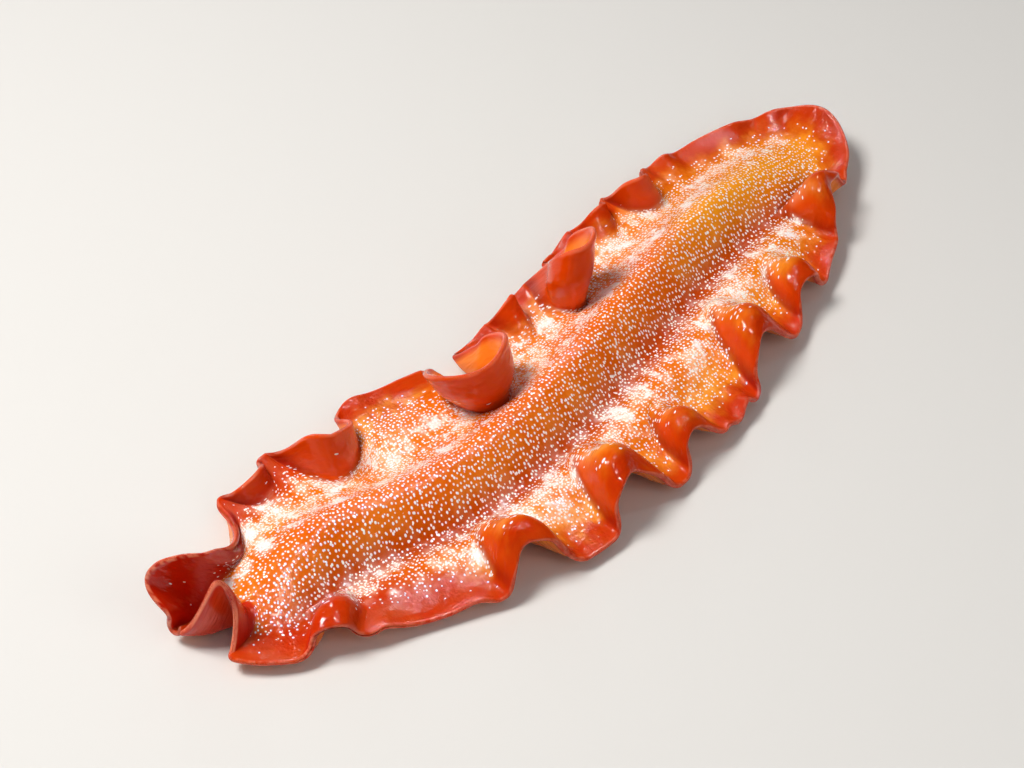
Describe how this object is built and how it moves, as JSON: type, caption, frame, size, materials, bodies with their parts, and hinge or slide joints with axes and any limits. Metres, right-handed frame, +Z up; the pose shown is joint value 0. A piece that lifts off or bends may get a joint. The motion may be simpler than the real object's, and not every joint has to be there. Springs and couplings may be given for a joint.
{
  "type": "polyclad flatworm",
  "caption": "Still, life-size model of a living ruffled marine flatworm: thin oval body with a raised midline, folded wavy margin and upright ear-like folds at the head.",
  "frame": {"origin": "bottom centre of the bounding box, on the surface the animal lies on", "axes": "+Z up from the belly to the back, head towards -Y, tail towards +Y, the animal's left side towards +X"},
  "size_m": [0.0158, 0.0438, 0.0053],
  "materials": {
    "wet_flesh": "wet, glossy living skin: orange back with fine white dots, red-orange ruffled margin"
  },
  "bodies": {
    "root": {"head": "wet_flesh", "body_front": "wet_flesh", "body_middle": "wet_flesh", "body_rear": "wet_flesh", "tail": "wet_flesh", "pseudotentacle_right": "wet_flesh", "pseudotentacle_left": "wet_flesh", "margin_left_front": "wet_flesh", "margin_left_fore": "wet_flesh", "margin_left_middle": "wet_flesh", "margin_left_aft": "wet_flesh", "margin_right_front": "wet_flesh", "margin_right_fore": "wet_flesh", "margin_right_middle": "wet_flesh", "margin_right_aft": "wet_flesh", "margin_right_rear": "wet_flesh", "margin_tail": "wet_flesh"}
  },
  "joints": []
}
